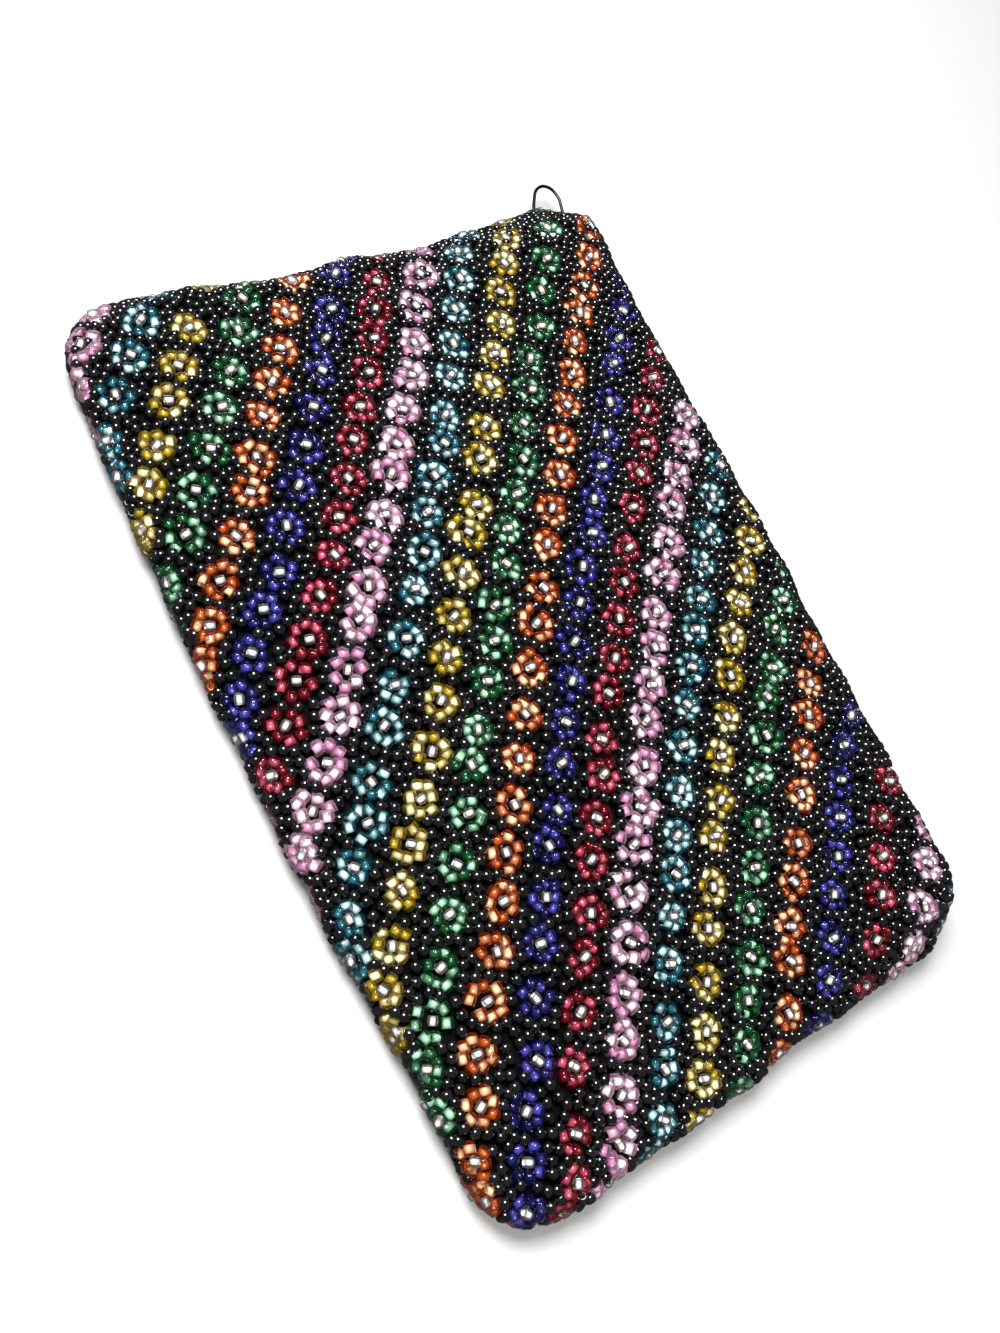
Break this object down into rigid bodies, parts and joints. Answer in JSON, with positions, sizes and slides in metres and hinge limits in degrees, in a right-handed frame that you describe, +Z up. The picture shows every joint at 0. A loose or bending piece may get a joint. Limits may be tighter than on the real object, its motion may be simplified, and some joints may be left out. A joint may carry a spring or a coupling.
{
  "type": "beaded zip pouch",
  "caption": "Flat rectangular zip pouch covered with seed beads in diagonal stripes of bead flowers, with a zip along one long edge and a small wire loop at its end.",
  "frame": {"origin": "middle of the flat back face that it rests on", "axes": "+X along the zip from the ring end to the plain end, +Y from the folded edge to the zip edge, +Z up out of the front"},
  "size_m": [0.1869, 0.1289, 0.0144],
  "materials": {
    "beaded_cloth": "black cloth under closely sewn black glass seed beads",
    "black_beads": "opaque black glass beads, glossy",
    "pink_beads": "silver-lined pale pink glass beads",
    "turquoise_beads": "silver-lined turquoise glass beads",
    "yellow_beads": "silver-lined golden yellow glass beads",
    "green_beads": "silver-lined emerald green glass beads",
    "orange_beads": "silver-lined orange glass beads",
    "blue_beads": "silver-lined cobalt blue glass beads",
    "red_beads": "silver-lined crimson glass beads",
    "clear_beads": "silver-lined clear glass beads",
    "zip_tape": "black woven tape",
    "zip_teeth": "black plastic, satin",
    "zip_metal": "dull nickel",
    "ring_wire": "thin darkened wire"
  },
  "bodies": {
    "root": {"front_panel": "beaded_cloth", "back_panel": "beaded_cloth", "zip_tape_front": "zip_tape", "zip_tape_back": "zip_tape", "zip_teeth_front": "zip_teeth", "zip_teeth_back": "zip_teeth", "zip_slider": "zip_metal", "strap_ring": "ring_wire"}
  },
  "joints": []
}
